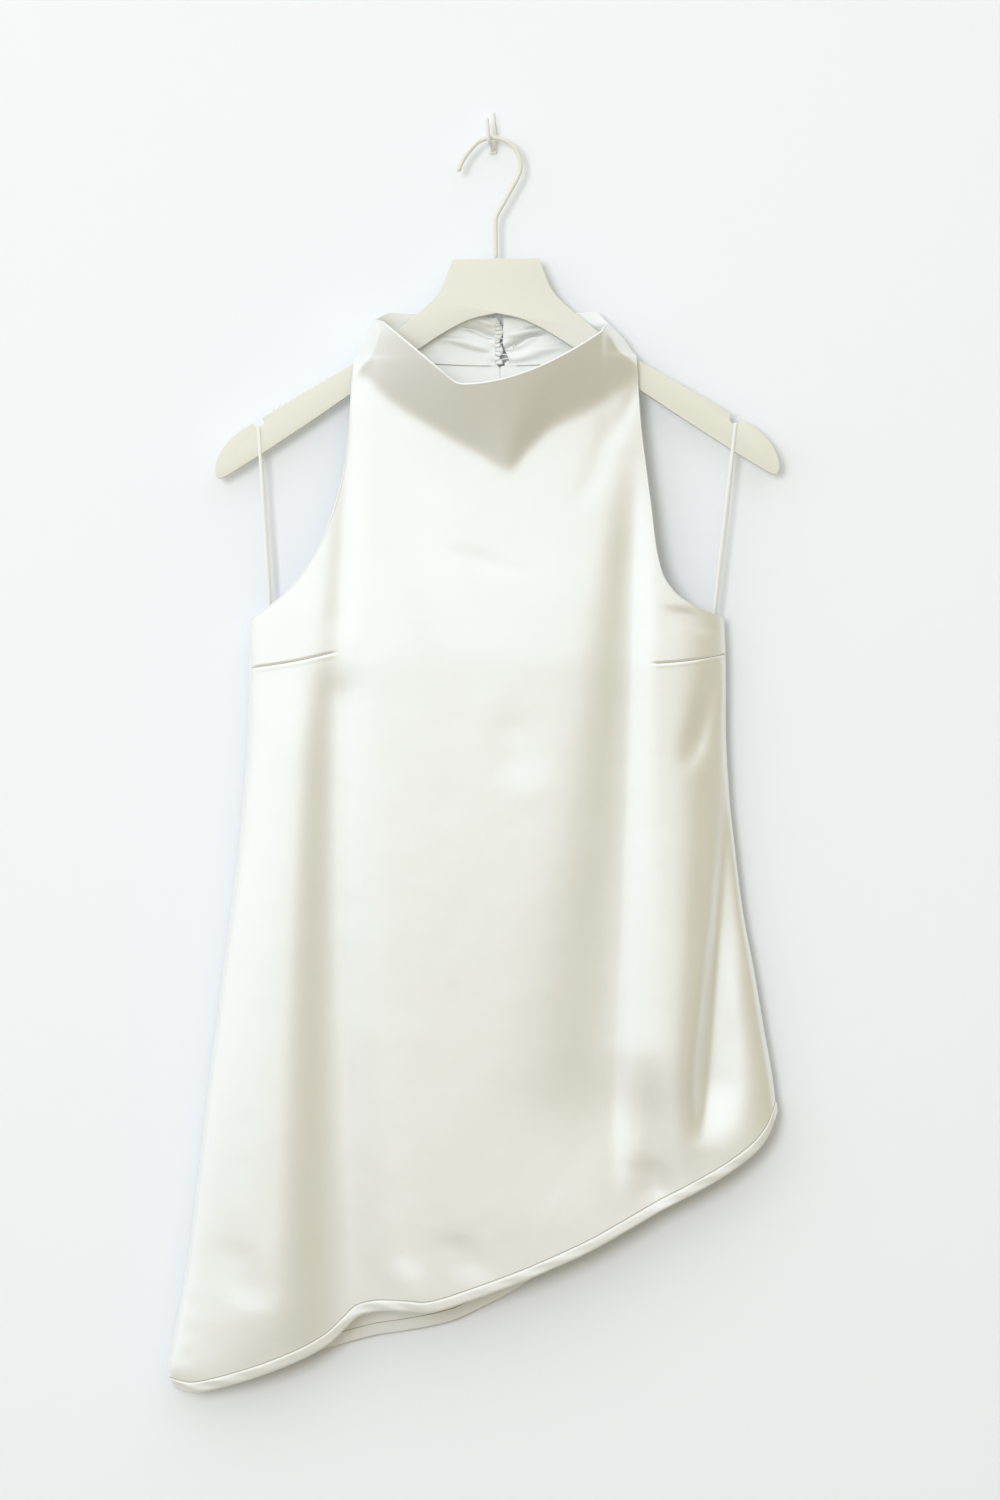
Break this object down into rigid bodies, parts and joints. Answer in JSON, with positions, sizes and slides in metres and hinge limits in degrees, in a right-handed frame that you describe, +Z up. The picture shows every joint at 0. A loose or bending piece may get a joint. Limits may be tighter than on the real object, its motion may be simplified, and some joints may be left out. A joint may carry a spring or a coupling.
{
  "type": "halter neck top on a hanger and wall hook",
  "caption": "Sleeveless asymmetric halter top with a high folded collar, a buttoned back band with a slit below it, on a flat hanger on a small wall hook.",
  "frame": {"origin": "the hang point: the underside of the hanger's wire hook, where the wall hook's prong carries it", "axes": "+Z up, +Y into the wall, so the front of the top faces -Y, +X to the viewer's right when the front is seen"},
  "size_m": [0.4856, 0.0692, 1.0168],
  "materials": {
    "satin": "ivory satin with a soft sheen",
    "satin_trim": "ivory satin, folded and stitched",
    "ribbon": "narrow ivory satin ribbon",
    "hanger_board": "matte cream board",
    "hanger_wire": "cream coated wire",
    "wall_hook": "white painted"
  },
  "bodies": {
    "root": {"front_panel": "satin", "front_hem": "satin_trim", "back_panel": "satin", "back_hem": "satin_trim", "neckband_left": "satin", "neckband_right": "satin", "hanger_loop_left": "ribbon", "hanger_loop_right": "ribbon", "button_1": "satin_trim", "button_2": "satin_trim", "button_3": "satin_trim", "button_loop_1": "satin_trim", "button_loop_2": "satin_trim", "button_loop_3": "satin_trim", "hanger_board": "hanger_board", "hanger_hook": "hanger_wire", "wall_hook": "wall_hook"}
  },
  "joints": []
}
